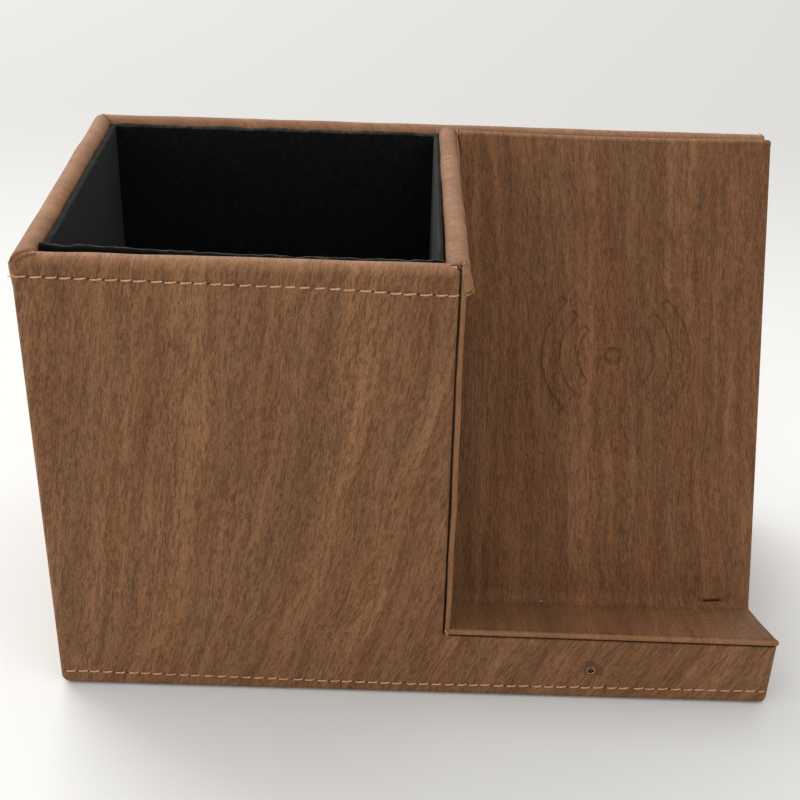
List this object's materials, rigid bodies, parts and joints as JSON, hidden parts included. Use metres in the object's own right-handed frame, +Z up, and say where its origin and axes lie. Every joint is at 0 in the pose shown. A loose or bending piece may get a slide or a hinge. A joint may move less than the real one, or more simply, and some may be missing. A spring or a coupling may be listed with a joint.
{
  "type": "desk organiser with wireless charging rest",
  "caption": "Wood-grain leatherette desk organiser: felt-lined open pen cup beside a slanted phone rest with a ledge and a wireless charging coil behind it.",
  "frame": {"origin": "centre of the bounding box at the desk surface", "axes": "+X across the width towards the phone rest, -Y out of the front panel, +Z up"},
  "size_m": [0.18, 0.092, 0.12],
  "materials": {
    "liner": "non-woven black underside paper",
    "board": "raw medium density fibreboard",
    "card": "grey-brown paper board",
    "wood_grain_leatherette": "matt printed walnut-grain polyurethane leather",
    "felt_lining": "black flocked felt, matt",
    "thread": "tan polyester thread",
    "adhesive_tape": "double-sided foam tape",
    "white_plastic": "white moulded ABS",
    "screw_steel": "nickel-plated steel",
    "copper": "enamelled litz copper",
    "ferrite": "dark ferrite sheet",
    "circuit_board": "green solder mask",
    "component_black": "moulded epoxy",
    "capacitor_ceramic": "tan ceramic with tinned ends",
    "port_steel": "stamped steel",
    "black_plastic": "black moulded plastic",
    "wire_insulation": "coloured wire insulation",
    "lamp_epoxy": "clear water-white epoxy",
    "lead_metal": "tinned wire"
  },
  "bodies": {
    "root": {"base_liner": "liner", "base_board": "board", "front_board": "board", "left_wall_board": "board", "back_board": "board", "divider_board": "board", "side_wedge_board": "board", "divider_side_card": "card", "rest_card": "card", "ledge_card": "card", "front_skin": "wood_grain_leatherette", "body_wrap_skin": "wood_grain_leatherette", "side_wedge_skin": "wood_grain_leatherette", "divider_side_skin": "wood_grain_leatherette", "divider_rim_wrap": "wood_grain_leatherette", "rest_cover_skin": "wood_grain_leatherette", "lining_left": "felt_lining", "lining_back": "felt_lining", "lining_right": "felt_lining", "lining_front": "felt_lining", "lining_floor": "felt_lining", "top_stitching": "thread", "bottom_stitching": "thread", "module_tape": "adhesive_tape", "charger_tray": "white_plastic", "charger_cover": "white_plastic", "cover_screws": "screw_steel", "transmit_coil": "copper", "ferrite_sheet": "ferrite", "coil_leads": "copper", "charger_pcb": "circuit_board", "controller_chip": "component_black", "bridge_mosfets": "component_black", "resonant_capacitors": "capacitor_ceramic", "power_inductor": "component_black", "usb_board": "circuit_board", "usb_shell": "port_steel", "usb_tongue": "black_plastic", "port_bezel": "black_plastic", "power_lead": "wire_insulation", "led_lamp": "lamp_epoxy", "led_leads": "lead_metal"}
  },
  "joints": []
}
